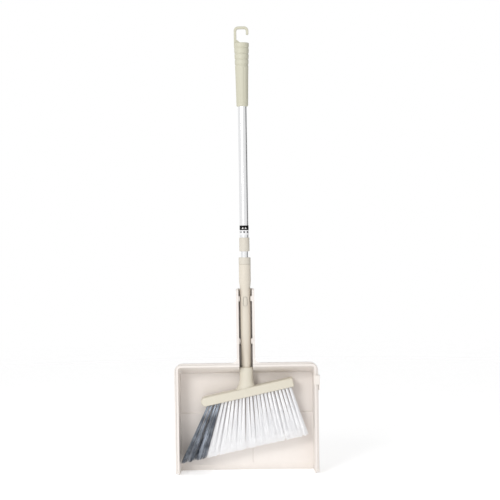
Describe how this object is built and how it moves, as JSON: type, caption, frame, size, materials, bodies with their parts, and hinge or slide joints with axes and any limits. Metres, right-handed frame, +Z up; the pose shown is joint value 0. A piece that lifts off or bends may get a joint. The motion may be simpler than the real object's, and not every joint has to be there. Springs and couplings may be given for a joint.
{
  "type": "dust pan and brush set",
  "caption": "Upright dust pan standing on its mouth edge, with a telescopic broom nested in the pan and snapped into its channel handle.",
  "frame": {"origin": "on the standing plane, under the broom's axis and in the pan's middle plane", "axes": "+Z up along the pole, +Y towards the pan's floor plate (the back), +X to the right seen from the open front"},
  "size_m": [0.2623, 0.0544, 0.811],
  "materials": {
    "pan_plastic": "satin moulded, warm white",
    "handle_plastic": "satin moulded, beige",
    "white_bristle": "fine filaments",
    "grey_bristle": "fine filaments, slate grey",
    "pole_aluminium": "bright anodised",
    "spring_steel": "drawn",
    "label_print": "printed film",
    "lock_nylon": "natural nylon"
  },
  "bodies": {
    "pan": {"pan_tray": "pan_plastic", "rim_clip": "pan_plastic"},
    "broom": {"brush_block": "handle_plastic", "grey_tufts_row_1": "grey_bristle", "grey_tufts_row_2": "grey_bristle", "grey_tufts_row_3": "grey_bristle", "grey_tufts_row_4": "grey_bristle", "white_tufts_row_1": "white_bristle", "white_tufts_row_2": "white_bristle", "white_tufts_row_3": "white_bristle", "white_tufts_row_4": "white_bristle", "tuft_anchors": "spring_steel", "handle_sleeve": "handle_plastic", "sleeve_cap": "handle_plastic", "inner_pole": "pole_aluminium", "pole_plug": "lock_nylon", "button_spring": "spring_steel", "cam_core": "lock_nylon"},
    "button": {"lock_button": "handle_plastic"},
    "lock_ring": {"cam_ring": "lock_nylon"},
    "upper_pole": {"outer_pole": "pole_aluminium", "pole_collar": "handle_plastic", "pole_label": "label_print", "pole_grip": "handle_plastic"}
  },
  "joints": [
    {"name": "broom_release", "type": "slide", "parent": "pan", "child": "broom", "axis": [0, -1, 0], "range_m": [0, 0.15]},
    {"name": "button_press", "type": "slide", "parent": "broom", "child": "button", "axis": [0, 1, 0], "range_m": [0, 0.003], "stiffness_N_per_m": 800, "springref_m": -0.001, "deforming": ["button_spring"]},
    {"name": "pole_twist", "type": "hinge", "parent": "broom", "child": "lock_ring", "pos_m": [0, 0, 0.749], "axis": [0, 0, 1], "range_deg": [0, 60]},
    {"name": "pole_extend", "type": "slide", "parent": "lock_ring", "child": "upper_pole", "axis": [0, 0, 1], "range_m": [-0.01, 0.28]}
  ]
}
